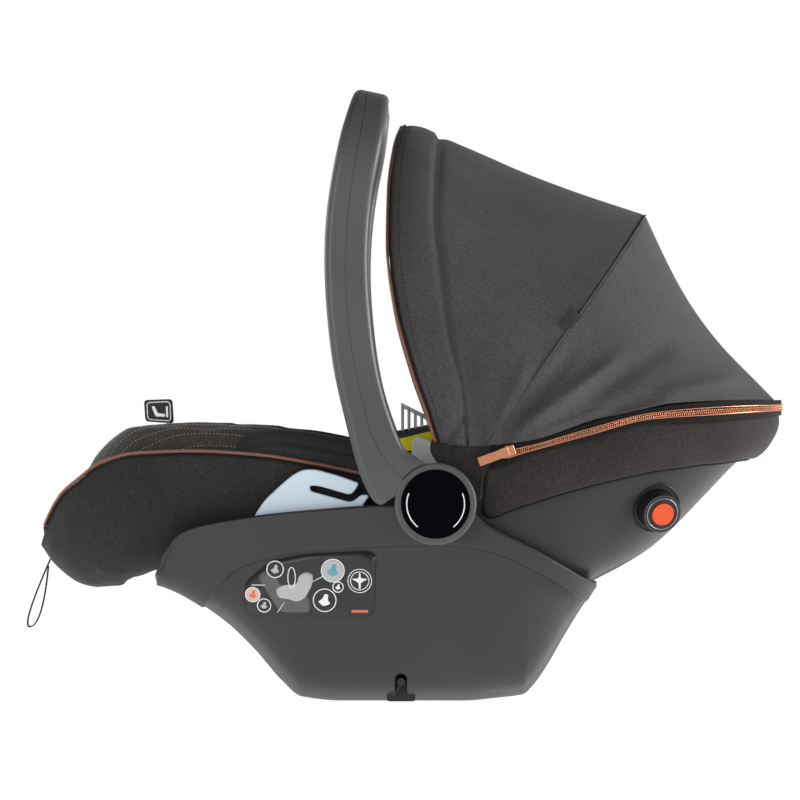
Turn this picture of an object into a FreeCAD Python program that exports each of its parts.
"""Infant car seat: every separate piece, in millimetres.

+X points to the head end, -X to the toe end, +Z is up, and the seat is
symmetrical about Y = 0. The origin is on the floor under the docking notch.
"""
import math
import os

import FreeCAD
import Part

V = FreeCAD.Vector

# --- Driving dimensions --------------------------------------------------
PIVOT_X = 34.0            # handle and recline axis
PIVOT_Z = 197.5
HANDLE_OUTER = 222.0      # half the seat's overall width
HANDLE_THICK = 20.0       # handle arm, measured across the seat
HUB_RADIUS = 39.3
EAR_RADIUS = 33.0
BORE = 8.0
BUTTON_RADIUS = 32.4
SHELL_WALL = 4.0
FABRIC = 3.0
GAP = 0.4                 # running clearance between bodies
SKIN_GAP = 2.0            # between nested shells and covers
PAD_INSET = FABRIC + SHELL_WALL + 2.5 * SKIN_GAP
PAD_DEPTH = 20.0          # leg cushion, at its lowest
CROWN = 33.0              # how far the leg cushion stands above the rim
TUB_HALF = 186.0          # widest half width of the base
SEAT_HALF = 152.0         # half width of the leg part
BACK_START = 60.0         # toe end of the back shell, inside the base
CANOPY_HALF = 186.0
CANOPY_HINGE_X = 61.6
CANOPY_HINGE_Z = 231.6
HANDLE_INNER = HANDLE_OUTER - HANDLE_THICK

# --- Side-view guide lines (x, z) ---------------------------------------
TUB_RIM = [
    (-238, 129), (-228, 149), (-211, 169), (-181, 178), (-88, 190), (10, 196),
    (60, 194), (84, 176), (132, 151), (192, 117),
]
TUB_KEEL = [
    (-238, 117), (-211, 104), (-171, 77), (-143, 50), (-116, 19), (-97, 4),
    (-58, -1), (63, -1), (97, 3), (121, 6), (133, 17), (146, 36), (165, 69),
    (192, 112),
]
TUB_WIDTH = [(-238, 140), (-211, 155), (-150, 168), (-20, 183), (34, 186), (100, 183), (192, 174)]
LEG_RIM = [
    (-354, 157), (-345, 178), (-330, 203), (-311, 219), (-290, 234), (-256, 243),
    (-200, 245), (-135, 241), (-85, 233), (-30, 222), (30, 213), (56, 206), (85, 172), (122, 122),
]
LEG_KEEL = [
    (-354, 149), (-343, 132), (-322, 116), (-294, 110), (-273, 114), (-242, 128),
    (-200, 126), (-140, 98), (-80, 78), (0, 66), (60, 66), (90, 71),
    (122, 92),
]
BACK_END = [
    (28, 60), (39, 100), (62, 140), (93, 169), (117, 188), (133, 221), (153, 252),
    (181, 282), (213, 313), (235, 334), (253, 352), (279, 366), (297, 368),
]
BACK_WIDTH = [(28, 6), (40, 92), (62, 126), (93, 148), (130, 161), (180, 168), (230, 170), (300, 169)]
TAPE_TOP = [(60, 252), (87, 253), (127, 258), (195, 280), (260, 293), (323, 297), (376, 297)]
TAPE_LOW = [(60, 228), (87, 229), (136, 246), (176, 256), (235, 273), (300, 276), (376, 283)]
PAD_TOP = [(60, 214), (100, 216), (150, 238), (210, 262), (376, 284)]
BAND_LOW = [(60, 215), (75, 203), (84, 187), (97, 180), (127, 189), (184, 205), (272, 225), (376, 236)]
BAND_BULGE = [(178, 4), (200, 9), (230, 12), (260, 12), (297, 9)]
BRIM = [
    (37, 256), (29, 282), (16, 319), (-3, 390), (-10, 449), (-9, 500), (-3, 547), (4, 569),
]
SEAM = [(66, 252), (62, 302), (50, 355), (39, 433), (34, 480), (36, 530), (40, 560)]
MID_BOW = [(84, 253), (137, 329), (191, 405), (244, 481)]
HANDLE_LINE = [
    (215, 10), (236, -16), (254, -23), (280, -31), (320, -41), (369, -48), (432, -51.5), (491, -47.5),
    (545, -37.5), (573, -31.5), (592, -27.5), (602, -25.4),
]
HANDLE_WIDTH = [
    (215, 54), (236, 50), (254, 46), (280, 43), (320, 42), (432, 42), (545, 41), (592, 34),
]
PARTING = [
    (-30, 620), (-33, 584), (-47, 500), (-52, 412), (-47, 350), (-36, 296), (-22, 252), (2, 222), (20, 205),
]


def follow(table, x):
    """Smooth value of a guide line at x, with no overshoot between its points."""
    if x <= table[0][0]:
        return float(table[0][1])
    if x >= table[-1][0]:
        return float(table[-1][1])
    slopes = [(b[1] - a[1]) / (b[0] - a[0]) for a, b in zip(table, table[1:])]
    tangents = [slopes[0]]
    for a, b in zip(slopes, slopes[1:]):
        tangents.append(0.0 if a * b <= 0 else 2 * a * b / (a + b))
    tangents.append(slopes[-1])
    i = next(k for k in range(len(slopes)) if x <= table[k + 1][0])
    (x0, y0), (x1, y1) = table[i], table[i + 1]
    h = x1 - x0
    t = (x - x0) / h
    a = (1 + 2 * t) * (1 - t) ** 2 * y0 + t * (1 - t) ** 2 * h * tangents[i]
    b = t * t * (3 - 2 * t) * y1 + t * t * (t - 1) * h * tangents[i + 1]
    return a + b


def span(a, b, count):
    """Evenly spaced values from a to b, both ends included."""
    return [a + (b - a) * i / (count - 1) for i in range(count)]


def even(points, count):
    """The same line of points, walked again in equal steps."""
    lengths = [0.0]
    for a, b in zip(points, points[1:]):
        lengths.append(lengths[-1] + math.dist(a, b))
    out = []
    k = 0
    for target in span(0, lengths[-1], count):
        while k < len(points) - 2 and lengths[k + 1] < target:
            k += 1
        t = (target - lengths[k]) / max(lengths[k + 1] - lengths[k], 1e-9)
        out.append(tuple(p + (q - p) * t for p, q in zip(points[k], points[k + 1])))
    return out


def power(value, exponent):
    return math.copysign(abs(value) ** exponent, value)


# --- Solid builders ------------------------------------------------------
def surface(grid):
    s = Part.BSplineSurface()
    s.interpolate([[V(*p) for p in row] for row in grid])
    return s


def skin(outer, inner):
    """Closed solid between two matching grids of points."""
    faces = []
    rims = []
    for grid in (outer, inner):
        s = surface(grid)
        faces.append(s.toShape())
        u0, u1, v0, v1 = s.bounds()
        rims.append([s.uIso(u0), s.uIso(u1), s.vIso(v0), s.vIso(v1)])
    for a, b in zip(*rims):
        faces.append(Part.makeRuledSurface(a.toShape(), b.toShape()))
    shell = Part.makeShell(faces)
    shell.sewShape()
    solid = Part.makeSolid(shell)
    if solid.Volume < 0:
        solid.reverse()
    return solid


def prism(outline, y0, y1):
    """Side-view outline (x, z) made solid from y0 to y1."""
    points = [V(x, y0, z) for x, z in outline]
    face = Part.Face(Part.makePolygon(points + points[:1]))
    return face.extrude(V(0, y1 - y0, 0))


def rod(start, end, radius):
    a = V(*start)
    d = V(*end) - a
    return Part.makeCylinder(radius, d.Length, a, d)


def block(x0, x1, y0, y1, z0, z1):
    return Part.makeBox(x1 - x0, y1 - y0, z1 - z0, V(x0, y0, z0))


def soft_block(x0, x1, y0, y1, z0, z1, radius):
    b = block(x0, x1, y0, y1, z0, z1)
    return b.makeFillet(radius, b.Edges)


def turned(shape, x, z, degrees):
    """Turn about the Y line through (x, z); positive takes +Z towards +X."""
    s = shape.copy()
    s.rotate(V(x, 0, z), V(0, 1, 0), degrees)
    return s


def mirrored(shape):
    return shape.mirror(V(0, 0, 0), V(0, 1, 0))


def pipe(points, radius, lean):
    """Round rod along a smooth line; lean is a direction the line never runs in."""
    line = Part.BSplineCurve()
    line.interpolate([V(*p) for p in points])
    first = line.FirstParameter
    last = line.LastParameter
    rings = []
    for t in span(first, last, 40):
        p = line.value(t)
        run = line.tangent(t)[0]
        across = run.cross(lean)
        across.normalize()
        along = across.cross(run)
        along.normalize()
        half = Part.Arc(p + along * radius, p + across * radius, p - along * radius)
        rest = Part.Arc(p - along * radius, p - across * radius, p + along * radius)
        rings.append(Part.Wire([half.toShape(), rest.toShape()]))
    return Part.makeLoft(rings, True, True)


def save(name, shape):
    if not shape.isValid() or shape.Volume <= 0:
        print("PROBLEM", name, shape.isValid(), shape.Volume)
    shape.exportStep("parts/" + name + ".step")
    print(name, len(shape.Solids), round(shape.Volume / 1000, 1))


def save_pair(name, right_hand_shape):
    """The near side has negative Y and is called right, seen from the toe end."""
    save(name + "_right", right_hand_shape)
    save(name + "_left", mirrored(right_hand_shape))


# --- Hull of the base and of the leg part --------------------------------
def hull_half(rim, keel, width, roundness, flare, inset, x, z):
    top = follow(rim, x)
    low = follow(keel, x) + inset
    h = min(max((z - low) / (top - low), 0.0), 1.0)
    full = width(x, inset) * (1 - flare * (1 - h))
    return full * (1 - (1 - h) ** roundness) ** (1 / roundness)


def hull_grid(rim, keel, width, roundness, flare, inset, stations, across):
    """Cross sections from the right rim, round the bottom, to the left rim."""
    grid = []
    for x in stations:
        top = follow(rim, x)
        low = follow(keel, x) + inset
        fine = []
        for i in range(181):
            angle = math.radians(i - 90)
            z = top - (top - low) * power(math.cos(angle), 2 / roundness)
            h = (z - low) / (top - low)
            y = width(x, inset) * (1 - flare * (1 - h)) * power(math.sin(angle), 2 / roundness)
            fine.append((x, y, z))
        grid.append(even(fine, across))
    return grid


def tub_width(x, inset=0.0):
    """Half width of the base, rounded in plan at the head end; inset is measured in from the outer face."""
    t = max(x + 0.7 * inset - 60.0, 0.0) / 140.0
    return follow(TUB_WIDTH, x) * (1 - t ** 4) ** 0.25 - inset


def leg_width(x, inset=0.0):
    """Half width of the leg part, rounded in plan at the toe."""
    start = -190.0
    t = min(max((start - x) / (start + 358.0), 0.0), 1.0)
    half = follow([(-200, SEAT_HALF), (0, SEAT_HALF), (60, SEAT_HALF - 9), (130, SEAT_HALF - 11)], x)
    return half * (1 - t ** 2.8) ** (1 / 2.8) - inset


TUB = dict(rim=TUB_RIM, keel=TUB_KEEL, width=tub_width, roundness=6.0, flare=0.22)
LEG = dict(rim=LEG_RIM, keel=LEG_KEEL, width=leg_width, roundness=2.6, flare=0.0)


def make_base():
    stations = span(-238, -90, 14)[:-1] + span(-90, 110, 12)[:-1] + span(110, 192, 11)
    outer = hull_grid(inset=0.0, stations=stations, across=41, **TUB)
    inner = hull_grid(inset=SHELL_WALL, stations=stations, across=41, **TUB)
    shell = skin(outer, inner)
    ear = rod((PIVOT_X, -TUB_HALF, PIVOT_Z), (PIVOT_X, -TUB_HALF + 7, PIVOT_Z), EAR_RADIUS)
    shell = shell.fuse([ear, mirrored(ear)])
    notch = block(-5, 7, -200, -85, -10, 25).fuse(rod((1, -200, 25), (1, -85, 25), 6))
    bore = rod((PIVOT_X, -230, PIVOT_Z), (PIVOT_X, 230, PIVOT_Z), BORE + 0.1)
    window = on_rear_wall(block(-9, 9, -52, 52, -20, 23))
    floor = block(-400, 400, -300, 300, -20, 0)
    return shell.cut([notch, mirrored(notch), bore, window, floor])


def side_label():
    """Flat printed plate that follows the side wall."""
    outer = []
    inner = []
    for x in span(-156, -26, 9):
        z_low = 87 - 0.02 * x
        z_high = 156 + 0.06 * (x + 26)
        column = [(z, hull_half(inset=0.0, x=x, z=z, **TUB)) for z in span(z_low, z_high, 7)]
        outer.append([(x, -(y + 2.2), z) for z, y in column])
        inner.append([(x, -(y + 1.4), z) for z, y in column])
    return skin(outer, inner)


def belt_guide():
    """Blue lap-belt guide: a plate with an open slot, standing on the rim."""
    plate = [
        (-141, 172), (-141, 185), (-131, 200), (-115, 215), (-100, 227), (-91, 230), (-81, 230),
        (-59, 224), (-39, 217), (-41, 212), (-47, 205), (-78, 214), (-87, 214), (-86, 209),
        (-46, 198), (-36, 206), (-28, 205), (-35, 196), (-35, 176),
    ]
    shape = prism(plate, 0, 7)
    lean = math.degrees(math.atan2(183 - 168, 130))
    shape.rotate(V(-150, 0, 0), V(0, 0, 1), -lean)
    shape.translate(V(0, -(168 - SHELL_WALL - 4.5), 0))
    return shape


def make_leg():
    stations = span(-354, -330, 5)[:-1] + span(-330, -200, 11)[:-1] + span(-200, 96, 15)
    cover = skin(hull_grid(inset=0.0, stations=stations, across=27, **LEG),
                 hull_grid(inset=FABRIC, stations=stations, across=27, **LEG))
    stations = span(-347, -330, 5)[:-1] + span(-330, -200, 11)[:-1] + span(-200, 95, 15)
    shell = skin(hull_grid(inset=FABRIC + SKIN_GAP, stations=stations, across=27, **LEG),
                 hull_grid(inset=FABRIC + SKIN_GAP + SHELL_WALL, stations=stations, across=27, **LEG))
    return cover, shell


def on_rear_wall(shape):
    """Place a piece drawn about the origin on the sloping rear wall of the base."""
    s = turned(shape, 0, 0, 30.2)
    s.translate(V(163.5, 0, 69.5))
    return s


def in_leg(x, y):
    """Height of the leg shell's inside at x, y."""
    low = follow(LEG_KEEL, x) + PAD_INSET
    top = follow(LEG_RIM, x)
    full = leg_width(x) - PAD_INSET
    side = min(abs(y) / full, 1.0)
    return top - (top - low) * (1 - side ** LEG["roundness"]) ** (1 / LEG["roundness"])


SWELL = [(-338, 0), (-300, 0.55), (-262, 1), (-120, 1), (-50, 0.8), (30, 0.2), (60, 0)]


def leg_pad(x0, x1, crown, count):
    """Cushion that lines the leg shell; its edge swells into a bolster."""
    top = []
    bottom = []
    for x in span(x0, x1, count):
        rim = follow(LEG_RIM, x) - 2
        half = leg_width(x) - PAD_INSET - 0.5
        toe = min(max((-215 - x) / 125.0, 0.0), 1.0)
        row = []
        under = []
        for q in span(-1, 1, 33):
            y = half * power(math.sin(q * math.pi / 2), 1.0)
            side = abs(y) / half
            edge = min((side ** 4 + toe ** 4) ** 0.25, 1.0)
            floor = min(in_leg(x, y) + 0.8, rim - 6)
            rise = min(max((edge - 0.42) / 0.36, 0.0), 1.0)
            rise = rise * rise * (3 - 2 * rise)
            drop = max((edge - 0.8) / 0.2, 0.0)
            low = follow(LEG_KEEL, x) + PAD_INSET + PAD_DEPTH
            swell = rim + crown * (1 - drop ** 2) * follow(SWELL, x)
            z = max(low + (max(swell, low) - low) * rise, floor + 5)
            row.append((x, y, z))
            under.append((x, y, floor))
        top.append(row)
        bottom.append(under)
    return skin(top, bottom)


# --- Back shell: level slices of a bucket with a round head end ----------
def back_point(z, around, offset):
    """around runs from -1 (right side) through 0 (head end) to 1 (left side)."""
    angle = around * math.pi / 2
    length = follow(BACK_END, z) + offset - BACK_START
    width = follow(BACK_WIDTH, z) + offset
    x = BACK_START + length * power(math.cos(angle), 2 / 3)
    return (x, width * power(math.sin(angle), 2 / 3), z)


def back_grid(offset, low, high, reach, across, rows, ease=1.0):
    """Grid on the bucket between two guide lines; offset may follow the height."""
    length = follow(BACK_END, 290) - BACK_START
    width = follow(BACK_WIDTH, 290)
    columns = [back_point(290, a, 0) for a in span(-reach, reach, 241)]
    spots = []
    for x, y, _ in even(columns, across):
        side = min(abs(y) / width, 1.0)
        spots.append(((1 - side ** 3) ** (1 / 3) if side > 0.8 else (x - BACK_START) / length, y))
    grid = []
    for part, y_rim in spots:
        x_rim = BACK_START + length * part
        z0 = follow(low, x_rim)
        z1 = follow(high, x_rim)
        column = []
        for v in span(0, 1, rows):
            z = z0 + (z1 - z0) * v ** ease
            out = offset(z) if callable(offset) else offset
            reach_x = follow(BACK_END, z) + out - BACK_START
            y = (follow(BACK_WIDTH, z) + out) * max(1 - part ** 3, 0.0) ** (1 / 3)
            column.append((BACK_START + reach_x * part, math.copysign(y, y_rim), z))
        grid.append(column)
    return grid


def flat(z):
    return [(60, z), (376, z)]


def lowered(table, drop):
    return [(x, z - drop) for x, z in table]


def bulge(extra):
    return lambda z: follow(BAND_BULGE, z) + extra


def pod_axis():
    direction = V(0.3, -0.9, -0.3)
    direction.normalize()
    return direction


def pod_point(along):
    """A point on the near pod's axis, measured outwards from the shell wall."""
    centre = V(247, -129, 194) + pod_axis() * along
    return (centre.x, centre.y, centre.z)


def pod_rod(a, b, radius):
    return rod(pod_point(a), pod_point(b), radius)


def make_back():
    rim = lowered(TAPE_TOP, 5)
    shell = skin(back_grid(0.0, flat(54), rim, 1.0, 41, 21, 1.3),
                 back_grid(-SHELL_WALL, flat(59), rim, 1.0, 41, 21, 1.3))
    hole = pod_rod(-40, 40, 25)
    shell = shell.cut([hole, mirrored(hole)])
    band = skin(back_grid(bulge(0), BAND_LOW, lowered(TAPE_TOP, 3), 0.985, 45, 9),
                back_grid(2.2, BAND_LOW, lowered(TAPE_TOP, 3), 0.985, 45, 9))
    tape = skin(back_grid(bulge(1.6), TAPE_LOW, TAPE_TOP, 0.98, 45, 4),
                back_grid(bulge(0.6), TAPE_LOW, TAPE_TOP, 0.98, 45, 4))
    middle = [(x, (follow(TAPE_TOP, x) + follow(TAPE_LOW, x)) / 2) for x in (60, 110, 160, 220, 290, 376)]
    teeth = skin(back_grid(bulge(3.6), lowered(middle, 1.6), lowered(middle, -1.6), 0.965, 45, 4),
                 back_grid(bulge(2.0), lowered(middle, 1.6), lowered(middle, -1.6), 0.965, 45, 4))
    pad = skin(back_grid(-SHELL_WALL - 2.5, flat(66), PAD_TOP, 0.97, 41, 17, 1.3),
               back_grid(-SHELL_WALL - 14, flat(76), PAD_TOP, 0.97, 41, 17, 1.3))
    hole = pod_rod(-60, 40, 25.4)
    pad = pad.cut([hole, mirrored(hole)])
    return shell, band, tape, teeth, pad


# --- Canopy --------------------------------------------------------------
def rib(line, half, offset, count):
    """Arch over the seat: a side-view line from the near side to the top centre."""
    fine = even([(x, z) for x, z in smooth(line, 60)], 121)
    out = []
    for i in range(241):
        angle = math.radians((i - 120) * 0.75)
        part = power(math.cos(angle), 2 / 2.6)
        x, z = fine[min(int(part * 120 + 0.5), 120)]
        y = (half + offset) * power(math.sin(angle), 2 / 2.6)
        out.append((x, y, z + offset * part))
    return even(out, count)


def smooth(line, count):
    curve = Part.BSplineCurve()
    curve.interpolate([V(x, 0, z) for x, z in line])
    return [(p.x, p.z) for p in curve.discretize(count)]


def hem(offset, count):
    points = [back_point(270, a, 0) for a in span(-0.985, 0.985, 241)]
    out = []
    for x, y, _ in points:
        side = abs(y) / follow(BACK_WIDTH, 270)
        z = follow(TAPE_TOP, x + 9) + 0.5
        out.append((x + 9 + offset, math.copysign(side * (CANOPY_HALF + offset), y), z))
    return even(out, count)


def between(a, b, steps, sag):
    """Rows of points from just past rib a to just short of rib b, pulled in by sag at mid span."""
    rows = []
    for s in span(0.006, 0.994, steps):
        row = []
        for i, (p, q) in enumerate(zip(a, b)):
            pull = sag * math.sin(math.pi * s) * math.sin(math.pi * i / (len(a) - 1))
            x, y, z = (u + (v - u) * s for u, v in zip(p, q))
            away = math.hypot(x - CANOPY_HINGE_X, z - CANOPY_HINGE_Z)
            x -= pull * (x - CANOPY_HINGE_X) / away
            z -= pull * (z - CANOPY_HINGE_Z) / away
            row.append((x, y, z))
        rows.append(row)
    return rows


def panel(first, second, steps, sag, thick):
    """Canopy sheet from one rib to the next."""
    outer = between(first(0), second(0), steps, sag)
    inner = between(first(-thick), second(-thick), steps, sag)
    return skin(outer, inner)


def brim_rib(offset):
    return rib(BRIM, CANOPY_HALF, offset, 37)


def seam_rib(offset):
    return rib(SEAM, CANOPY_HALF, offset, 37)


def mid_rib(offset):
    return rib(MID_BOW, CANOPY_HALF, offset, 37)


def hem_rib(offset):
    return hem(offset, 37)


def bow(line, radius, hinge_y):
    """Bent rod of a canopy bow: it starts inside the back shell and flares out to the fabric."""
    half = CANOPY_HALF - 8.5
    arch = rib(line, half, -6.5, 33)[:17]
    hinge = (CANOPY_HINGE_X, -hinge_y, CANOPY_HINGE_Z)
    far = [p for p in arch if math.dist((p[0], p[2]), (hinge[0], hinge[2])) > 95]
    run = (far[0][0] - hinge[0], far[0][2] - hinge[2])
    lead = []
    for part, flare in ((0, 0), (0.25, 0), (0.5, 0.05), (0.75, 0.55)):
        y = -hinge_y + (far[0][1] + hinge_y) * flare
        lead.append((hinge[0] + run[0] * part, y, hinge[2] + run[1] * part))
    half_line = lead + far
    middle = len(half_line) - 1
    line = half_line + [(x, -y, z) for x, y, z in reversed(half_line[:-1])]
    rise = V(line[middle][0] - hinge[0], 0, line[middle][2] - hinge[2])
    shape = pipe(line, radius, V(rise.z, 0, -rise.x))
    disc = rod((hinge[0], -hinge_y - 2.2, hinge[2]), (hinge[0], -hinge_y + 2.2, hinge[2]), 7)
    return shape.fuse([disc, mirrored(disc)])


# --- Handle --------------------------------------------------------------
def section(centre, along, across, width, thick, radius):
    """Rounded rectangle in the plane of the unit directions along and across."""
    wire = []
    corners = []
    for sx, sy in ((1, 1), (-1, 1), (-1, -1), (1, -1)):
        corners.append((sx * (width / 2 - radius), sy * (thick / 2 - radius)))
    points = []
    for k, (cx, cy) in enumerate(corners):
        base = k * 90
        arc = []
        for turn in (0, 45, 90):
            a = math.radians(base + turn)
            arc.append(centre + along * (cx + radius * math.cos(a)) + across * (cy + radius * math.sin(a)))
        points.append(arc)
    for k in range(4):
        wire.append(Part.Arc(*points[k]).toShape())
        wire.append(Part.LineSegment(points[k][2], points[(k + 1) % 4][0]).toShape())
    return Part.Wire(wire)


def handle_stations():
    """Centre line of the near arm and half the crossbar: (x, y, z), width, thickness."""
    corner = 66.0
    top = 586.5
    arm_y = HANDLE_OUTER - HANDLE_THICK / 2
    out = []
    for z in (215, 236, 254, 280, 320, 369, 432, 491, top - corner):
        out.append((V(follow(HANDLE_LINE, z), -arm_y, z), follow(HANDLE_WIDTH, z)))
    for angle in (22.5, 45, 67.5, 90):
        a = math.radians(angle)
        z = top - corner + corner * math.sin(a)
        y = -(arm_y - corner + corner * math.cos(a))
        out.append((V(follow(HANDLE_LINE, z), y, z), follow(HANDLE_WIDTH, z)))
    out.append((V(follow(HANDLE_LINE, top), -75, top + 1), 34))
    out.append((V(follow(HANDLE_LINE, top), 0, top + 1.5), 34))
    return out


def handle_strip():
    half = handle_stations()
    line = half + [(V(c.x, -c.y, c.z), w) for c, w in reversed(half[:-1])]
    wires = []
    for k, (centre, width) in enumerate(line):
        before = line[max(k - 1, 0)][0]
        after = line[min(k + 1, len(line) - 1)][0]
        run = after - before
        run.normalize()
        slope = (follow(HANDLE_LINE, centre.z + 4) - follow(HANDLE_LINE, centre.z - 4)) / 8
        lean = V(1, 0, -slope)
        lean.normalize()
        across = run.cross(lean)
        across.normalize()
        wires.append(section(centre, lean, across, width, HANDLE_THICK - 1.0, 7.0))
    return Part.makeLoft(wires, True, False)


def make_handle():
    strip = handle_strip()
    hub = rod((PIVOT_X, -HANDLE_OUTER, PIVOT_Z), (PIVOT_X, -HANDLE_INNER, PIVOT_Z), HUB_RADIUS)
    hub = hub.makeFillet(2.5, [hub.Edges[0], hub.Edges[2]])
    hubs = [hub, mirrored(hub)]
    line = smooth(PARTING, 40)
    rear_side = prism(line + [(200, 205), (200, 620)], -230, 230)
    gap_line = [(x + GAP, z) for x, z in line]
    rear_inner = prism(gap_line + [(200, 205), (200, 620)], -230, 230)
    front = strip.cut(rear_side).fuse(hubs)
    pocket = rod((PIVOT_X, -230, PIVOT_Z), (PIVOT_X, -HANDLE_OUTER + 14, PIVOT_Z), BUTTON_RADIUS + 0.8)
    bore = rod((PIVOT_X, -230, PIVOT_Z), (PIVOT_X, 230, PIVOT_Z), BORE + GAP)
    front = front.cut([pocket, mirrored(pocket), bore])
    clear = rod((PIVOT_X, -230, PIVOT_Z), (PIVOT_X, 230, PIVOT_Z), HUB_RADIUS + GAP)
    rear = strip.common(rear_inner).cut(clear)
    return front, rear


def button():
    face_y = -HANDLE_OUTER - 1.5
    disc = rod((PIVOT_X, face_y, PIVOT_Z), (PIVOT_X, face_y + 7.9, PIVOT_Z), BUTTON_RADIUS)
    return disc.makeFillet(1.2, [disc.Edges[0]])


# --- Harness and small pieces -------------------------------------------
def strap(points, y0, y1, width, thick):
    """Webbing through side-view points, leaning from y0 to y1."""
    top = []
    bottom = []
    line = even(smooth(points, 60), 12)
    for i, (x, z) in enumerate(line):
        y = y0 + (y1 - y0) * i / (len(line) - 1)
        top.append([(x, y + width * q, z + thick) for q in (-0.5, -0.17, 0.17, 0.5)])
        bottom.append([(x, y + width * q, z) for q in (-0.5, -0.17, 0.17, 0.5)])
    return skin(top, bottom)


def loop_strap(corners, width, thick):
    """Flat strap in the middle plane: straight runs joined by tangent arcs."""
    points = [V(x, 0, z) for x, z in corners]
    edges = []
    start = points[0]
    for a, b, c in zip(points, points[1:], points[2:]):
        into = (b - a)
        out = (c - b)
        half_turn = into.getAngle(out) / 2
        radius = 0.45 * min(into.Length, out.Length) / math.tan(half_turn)
        back = radius * math.tan(half_turn)
        into.normalize()
        out.normalize()
        p = b - into * back
        q = b + out * back
        bisect = out - into
        bisect.normalize()
        middle = b + bisect * (radius / math.cos(half_turn) - radius)
        edges.append(Part.LineSegment(start, p).toShape())
        edges.append(Part.Arc(p, middle, q).toShape())
        print("toe loop arc radius", round(radius, 1))
        start = q
    edges.append(Part.LineSegment(start, points[-1]).toShape())
    path = Part.Wire(edges)
    print("toe loop length", round(path.Length, 1))
    first = points[1] - points[0]
    first.normalize()
    side = first.cross(V(0, 1, 0))
    box = [points[0] + side * (thick * s) + V(0, width * t, 0)
           for s, t in ((-0.5, -0.5), (0.5, -0.5), (0.5, 0.5), (-0.5, 0.5))]
    return path.makePipeShell([Part.makePolygon(box + box[:1])], True, True)


def back_line(s, n):
    """Side-view point s along the back shell's keel and n above it."""
    along = (0.777, 0.629)
    return (252 + along[0] * s - along[1] * n, 153 + along[1] * s + along[0] * n)


def cradle(half, wing, thick, s0, s1, lift):
    """U-shaped trough along the back: floor and two wings."""
    outer = block(s0, s1, -half, half, lift, lift + wing)
    outer = outer.makeFillet(half / 2, [e for e in outer.Edges if lower_long_edge(e, lift)])
    inner = block(s0 - 1, s1 + 1, -half + thick, half - thick, lift + thick, lift + wing + 1)
    inner = inner.makeFillet(half / 2 - thick, [e for e in inner.Edges if lower_long_edge(e, lift + thick)])
    shape = outer.cut(inner)
    shape.rotate(V(0, 0, 0), V(0, 1, 0), -39.0)
    shape.translate(V(252, 0, 153))
    return shape


def lower_long_edge(edge, z):
    box = edge.BoundBox
    return abs(box.ZMin - z) < 0.01 and abs(box.ZMax - z) < 0.01 and box.YLength < 0.01


def recline_arm():
    outline = [
        (20, 197), (34, 183), (48, 188), (76, 200), (77, 232), (70, 243), (58, 245), (48, 236), (22, 208),
    ]
    plate = prism(outline, -174.8, -171.3)
    bore = rod((PIVOT_X, -180, PIVOT_Z), (PIVOT_X, -160, PIVOT_Z), BORE + GAP)
    return plate.cut(bore)


def axle():
    pin = rod((PIVOT_X, -168, PIVOT_Z), (PIVOT_X, -HANDLE_OUTER + 12.5, PIVOT_Z), BORE)
    head = rod((PIVOT_X, -HANDLE_OUTER + 13.6, PIVOT_Z), (PIVOT_X, -HANDLE_OUTER + 12, PIVOT_Z), 14)
    return pin.fuse(head)


def hub_boss():
    disc = rod((PIVOT_X, -TUB_HALF, PIVOT_Z), (PIVOT_X, -HANDLE_INNER + GAP, PIVOT_Z), EAR_RADIUS + 3)
    bore = rod((PIVOT_X, -230, PIVOT_Z), (PIVOT_X, -160, PIVOT_Z), BORE + 0.1)
    return disc.cut(bore)


def boss_screws():
    """Three pan-head screws hold each boss from inside the base wall."""
    screws = []
    for k in range(3):
        a = math.radians(90 + 120 * k)
        x = PIVOT_X + 23 * math.cos(a)
        z = PIVOT_Z + 23 * math.sin(a)
        screws.append(rod((x, -TUB_HALF + 8.0, z), (x, -TUB_HALF + 9.8, z), 4.0))
    near = screws[0].fuse(screws[1:])
    return near.fuse(mirrored(near))


def hook():
    outline = [
        (-12, 36), (14, 50), (28, 46), (30, 34), (22, 30), (4, 34), (-7, 24), (-7, 15), (-14, 15), (-16, 28),
    ]
    return prism(outline, -82, -76)


def tilted_block(x, z, length, half, thick, degrees, radius):
    shape = soft_block(-length / 2, length / 2, -half, half, -thick / 2, thick / 2, radius)
    shape = turned(shape, 0, 0, degrees)
    shape.translate(V(x, 0, z))
    return shape


def save_everything():
    save("base_shell", make_base())
    save_pair("side_label", side_label())
    save_pair("belt_guide", belt_guide())
    save_pair("hub_boss", hub_boss())
    save("boss_screws", boss_screws())
    save_pair("handle_axle", axle())
    save("dock_bar", rod((1, -126, 22), (1, 126, 22), 4.0))
    shaft = rod((22, -90, 40), (22, 90, 40), 4)
    save("latch_hooks", shaft.fuse([hook(), mirrored(hook())]))
    grip = on_rear_wall(block(-1.6, 2.0, -51.4, 51.4, -19.4, 19.4))
    pin = on_rear_wall(rod((-3.5, -51.4, 17), (-3.5, 51.4, 17), 2.4))
    save("release_paddle", grip.fuse(pin))
    cover, shell = make_leg()
    save("leg_cover", cover)
    save("leg_shell", shell)
    save("leg_cushion", leg_pad(-334, -52, CROWN, 34))
    save("seat_pad", leg_pad(-50, 90, CROWN, 17))
    make_leg_details()
    shell, band, tape, teeth, pad = make_back()
    save("back_shell", shell)
    save("back_cover", band)
    save("zipper_tape", tape)
    save("zipper_teeth", teeth)
    save("back_pad", pad)
    save_pair("recline_arm", recline_arm())
    make_zip()
    make_pods()
    make_canopy()
    front, rear = make_handle()
    save("handle_front_shell", front)
    save("handle_rear_shell", rear)
    save_pair("handle_button", button())
    make_harness()


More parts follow.
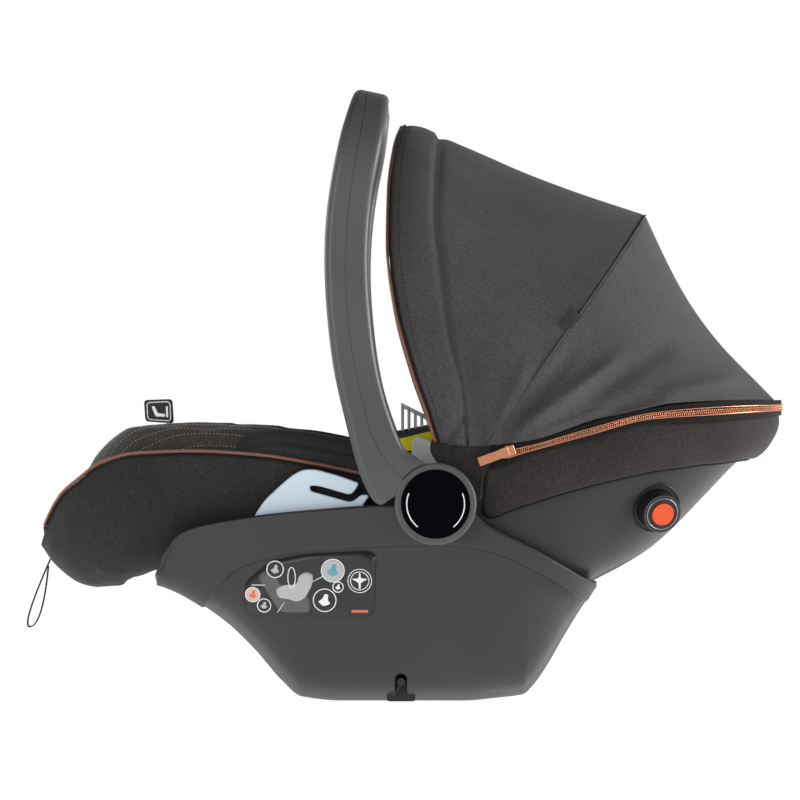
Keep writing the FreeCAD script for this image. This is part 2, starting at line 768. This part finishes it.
def make_leg_details():
    rim = []
    for x in (25, 0, -48, -85, -135, -180, -220, -256, -290, -311, -330, -341):
        slope = (follow(LEG_RIM, x + 3) - follow(LEG_RIM, x - 3)) / 6
        lift = 3.2 / math.hypot(1, slope)
        rim.append((x - lift * slope, -(leg_width(x) - 1.0), follow(LEG_RIM, x) + lift))
    toe = [(-353.0, -36, 171.5), (-354.0, 0, 168.5), (-353.0, 36, 171.5)]
    loop = rim + toe + [(x, -y, z) for x, y, z in reversed(rim)]
    save("leg_piping", pipe(loop, 2.0, V(0, 0, 1)))
    save("foot_tag", block(-249, -221, -112, -110, 276, 298))
    save("toe_pull_loop", loop_strap([(-349.5, 138), (-381, 67), (-357, 74), (-351.5, 131)], 8.0, 1.4))
    tab = [(0, 227), (34, 227), (34, 262), (25, 262), (25, 284), (2, 292), (2, 262), (0, 262)]
    save("side_tab", prism(tab, -149, -142))
    save("warning_tag", block(3, 33, -151.5, -150.3, 236, 260))


def make_zip():
    """Slider on the near end of the zip, and its pull lying on the tape."""
    slider = soft_block(-7, 7, -189.4, -185.3, -5.5, 5.5, 1.5)
    lugs = [block(-1.4, 1.4, -191.2, -188.0, z, z + 0.75) for z in (-5.5, 4.75)]
    slider = slider.fuse(lugs)
    pull = block(-30, 0, -191.4, -189.8, -4.3, 4.3).fuse(rod((0, -190.6, -4.3), (0, -190.6, 4.3), 0.8))
    for shape, name in ((slider, "zip_slider"), (pull, "zip_pull")):
        placed = turned(shape, 0, 0, -20)
        placed.translate(V(104, 0, 247.5))
        save(name, placed)


def make_pods():
    ring = pod_rod(-6, 7, 24.5).cut(pod_rod(-7, 8, 19.6))
    save_pair("pod_socket", ring)
    save_pair("pod_body", pod_rod(-5, 25, 18.9))
    save_pair("pod_cap", pod_rod(25.1, 27, 11.0))


def make_canopy():
    save("canopy_rear_panel", panel(mid_rib, hem_rib, 13, 14.0, 2.0))
    save("canopy_front_panel", panel(seam_rib, mid_rib, 9, 4.0, 2.0))
    save("canopy_brim_band", panel(brim_rib, seam_rib, 6, 0.0, 3.0))
    save("brim_piping", pipe([(x - 2.6, y, z) for x, y, z in rib(BRIM, CANOPY_HALF - 1, -1, 31)], 2.0,
                              V(1, 0, 0)))
    save("mid_bow", bow(MID_BOW, 1.9, 163.2))
    save("front_bow", bow(SEAM, 1.9, 158.4))


def make_harness():
    save("headrest_shell", cradle(80, 84, 7, -105, -5, 27))
    save("headrest_pad", cradle(72.6, 74, 16, -101, -9, 34.4))
    straps = [back_line(-60, 52.8), (140, 151), (95, 148), (57, 163)]
    pads = [(164, 158.5), (130, 153), (92, 151)]
    tongue = tilted_block(49.5, 160.8, 11, 8, 2.4, -30, 0.8)
    tongue.translate(V(0, -11, 0))
    for name, near in (("shoulder_straps", strap(straps, -25.5, -22, 34, 1.6)),
                       ("shoulder_pads", strap(pads, -29, -27, 46, 9)),
                       ("buckle_tongues", tongue)):
        save(name, Part.makeCompound([near, mirrored(near)]))
    save("crotch_strap", strap([(-24, 113), (-12, 118), (1, 130)], 0, 0, 38, 2))
    save("crotch_pad", strap([(-34, 103), (-18, 106), (-4, 114.5), (4, 121)], 0, 0, 56, 7))
    housing = tilted_block(24, 146, 46, 21, 17, -30, 5)
    pocket = tilted_block(17, 153, 16, 11, 16, -30, 2)
    save("buckle_housing", housing.cut(pocket))
    save("buckle_button", tilted_block(17, 153, 15, 10.2, 8, -30, 2))
    housing = soft_block(-232, -182, -17, 17, 160.5, 168.5, 2.5)
    save("adjuster_housing", housing.cut(block(-214, -191, -11.5, 11.5, 161.7, 175)))
    save("adjuster_button", soft_block(-213.5, -191.5, -11, 11, 165.1, 170.1, 1.5))
    save("adjuster_strap", strap([(-262, 158.6), (-248, 160.8), (-233, 161.8)], 0, 0, 25, 1.4))


if __name__ == "__main__":
    os.makedirs("parts", exist_ok=True)
    save_everything()
